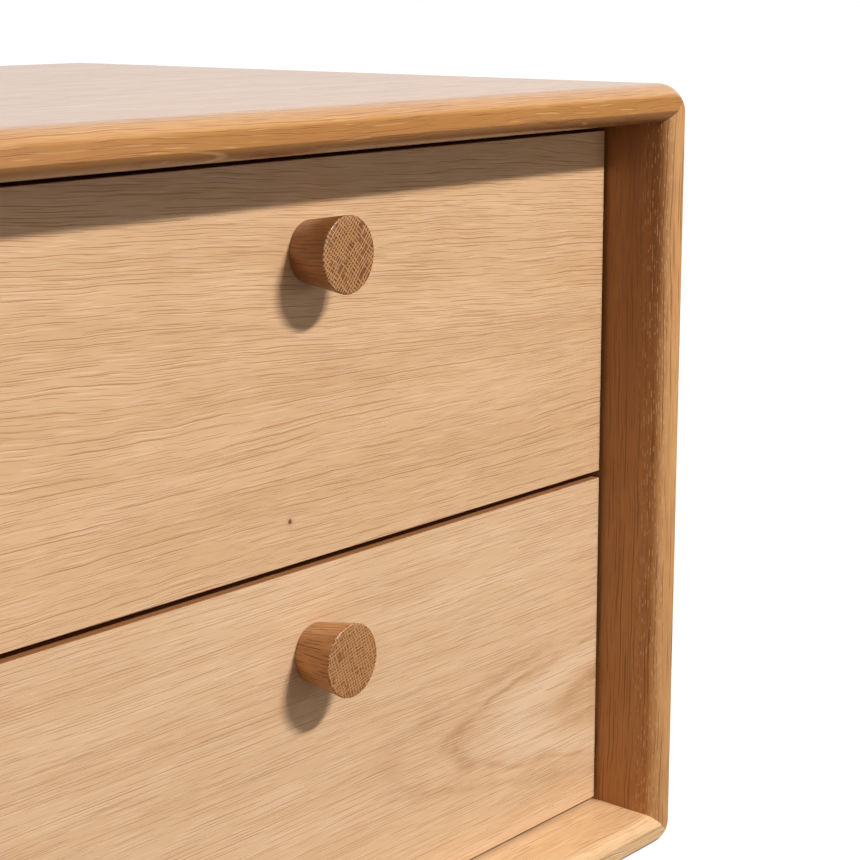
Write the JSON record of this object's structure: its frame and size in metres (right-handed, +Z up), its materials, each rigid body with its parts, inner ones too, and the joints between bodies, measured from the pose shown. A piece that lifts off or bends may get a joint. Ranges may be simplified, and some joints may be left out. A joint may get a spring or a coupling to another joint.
{
  "type": "bedside side table",
  "caption": "Oak side table: a mitred open-fronted case with rounded edges on turned legs, holding inset drawers with conical knobs on ball-bearing slides.",
  "frame": {"origin": "on the floor, under the centre of the case", "axes": "+Z up, -Y towards the front that the drawers open to, +X to the right as seen from the front"},
  "size_m": [0.49, 0.412, 0.55],
  "materials": {
    "oak_top": "oiled oak, grain from side to side",
    "oak_sides": "oiled oak, upright grain",
    "oak_bottom": "oiled oak, grain from side to side",
    "oak_drawer_fronts": "oiled oak, level grain",
    "oak_legs": "oiled oak, upright grain",
    "oak_knobs": "oiled oak, end grain on the outer face",
    "oak_back": "oak veneer, matt",
    "birch_drawer_boxes": "matt lacquer",
    "beech_dowels": "raw",
    "zinc_slides": "zinc plated",
    "steel_cages": "bright rolled sheet",
    "bearing_balls": "polished",
    "zinc_screws": "zinc plated",
    "brass_inserts": "turned",
    "plastic_glides": "satin"
  },
  "bodies": {
    "case": {"top_panel": "oak_top", "right_side_panel": "oak_sides", "bottom_panel": "oak_bottom", "left_side_panel": "oak_sides", "back_panel": "oak_back", "mitre_dowels": "beech_dowels", "back_panel_screws": "zinc_screws", "cabinet_member_screws": "zinc_screws", "hanger_bolts": "zinc_screws", "threaded_inserts": "brass_inserts", "front_left_leg": "oak_legs", "front_right_leg": "oak_legs", "rear_left_leg": "oak_legs", "rear_right_leg": "oak_legs", "leg_glides": "plastic_glides", "upper_left_cabinet_member": "zinc_slides", "upper_right_cabinet_member": "zinc_slides", "lower_left_cabinet_member": "zinc_slides", "lower_right_cabinet_member": "zinc_slides"},
    "upper_drawer": {"upper_drawer_front": "oak_drawer_fronts", "upper_knob": "oak_knobs", "upper_knob_screw": "zinc_screws", "upper_knob_washer": "zinc_screws", "upper_front_screws": "zinc_screws", "upper_box_front": "birch_drawer_boxes", "upper_box_back": "birch_drawer_boxes", "upper_box_bottom": "birch_drawer_boxes", "upper_left_box_side": "birch_drawer_boxes", "upper_right_box_side": "birch_drawer_boxes", "upper_left_drawer_member": "zinc_slides", "upper_right_drawer_member": "zinc_slides", "upper_member_screws": "zinc_screws"},
    "upper_slide_middles": {"upper_left_middle_member": "zinc_slides", "upper_right_middle_member": "zinc_slides"},
    "upper_outer_cages": {"upper_outer_ball_cages": "steel_cages", "upper_outer_balls": "bearing_balls"},
    "upper_inner_cages": {"upper_inner_ball_cages": "steel_cages", "upper_inner_balls": "bearing_balls"},
    "lower_drawer": {"lower_drawer_front": "oak_drawer_fronts", "lower_knob": "oak_knobs", "lower_knob_screw": "zinc_screws", "lower_knob_washer": "zinc_screws", "lower_front_screws": "zinc_screws", "lower_box_front": "birch_drawer_boxes", "lower_box_back": "birch_drawer_boxes", "lower_box_bottom": "birch_drawer_boxes", "lower_left_box_side": "birch_drawer_boxes", "lower_right_box_side": "birch_drawer_boxes", "lower_left_drawer_member": "zinc_slides", "lower_right_drawer_member": "zinc_slides", "lower_member_screws": "zinc_screws"},
    "lower_slide_middles": {"lower_left_middle_member": "zinc_slides", "lower_right_middle_member": "zinc_slides"},
    "lower_outer_cages": {"lower_outer_ball_cages": "steel_cages", "lower_outer_balls": "bearing_balls"},
    "lower_inner_cages": {"lower_inner_ball_cages": "steel_cages", "lower_inner_balls": "bearing_balls"}
  },
  "joints": [
    {"name": "upper_drawer_slide", "type": "slide", "parent": "case", "child": "upper_drawer", "axis": [0, -1, 0], "range_m": [0, 0.29]},
    {"name": "upper_middle_slide", "type": "slide", "parent": "case", "child": "upper_slide_middles", "axis": [0, -1, 0], "range_m": [0, 0.145]},
    {"name": "upper_outer_cage_slide", "type": "slide", "parent": "case", "child": "upper_outer_cages", "axis": [0, -1, 0], "range_m": [0, 0.0725]},
    {"name": "upper_inner_cage_slide", "type": "slide", "parent": "case", "child": "upper_inner_cages", "axis": [0, -1, 0], "range_m": [0, 0.2175]},
    {"name": "lower_drawer_slide", "type": "slide", "parent": "case", "child": "lower_drawer", "axis": [0, -1, 0], "range_m": [0, 0.29]},
    {"name": "lower_middle_slide", "type": "slide", "parent": "case", "child": "lower_slide_middles", "axis": [0, -1, 0], "range_m": [0, 0.145]},
    {"name": "lower_outer_cage_slide", "type": "slide", "parent": "case", "child": "lower_outer_cages", "axis": [0, -1, 0], "range_m": [0, 0.0725]},
    {"name": "lower_inner_cage_slide", "type": "slide", "parent": "case", "child": "lower_inner_cages", "axis": [0, -1, 0], "range_m": [0, 0.2175]}
  ],
  "couplings": [
    {"joint": "upper_middle_slide", "follows": "upper_drawer_slide", "ratio": 0.5},
    {"joint": "upper_outer_cage_slide", "follows": "upper_drawer_slide", "ratio": 0.25},
    {"joint": "upper_inner_cage_slide", "follows": "upper_drawer_slide", "ratio": 0.75},
    {"joint": "lower_middle_slide", "follows": "lower_drawer_slide", "ratio": 0.5},
    {"joint": "lower_outer_cage_slide", "follows": "lower_drawer_slide", "ratio": 0.25},
    {"joint": "lower_inner_cage_slide", "follows": "lower_drawer_slide", "ratio": 0.75}
  ]
}
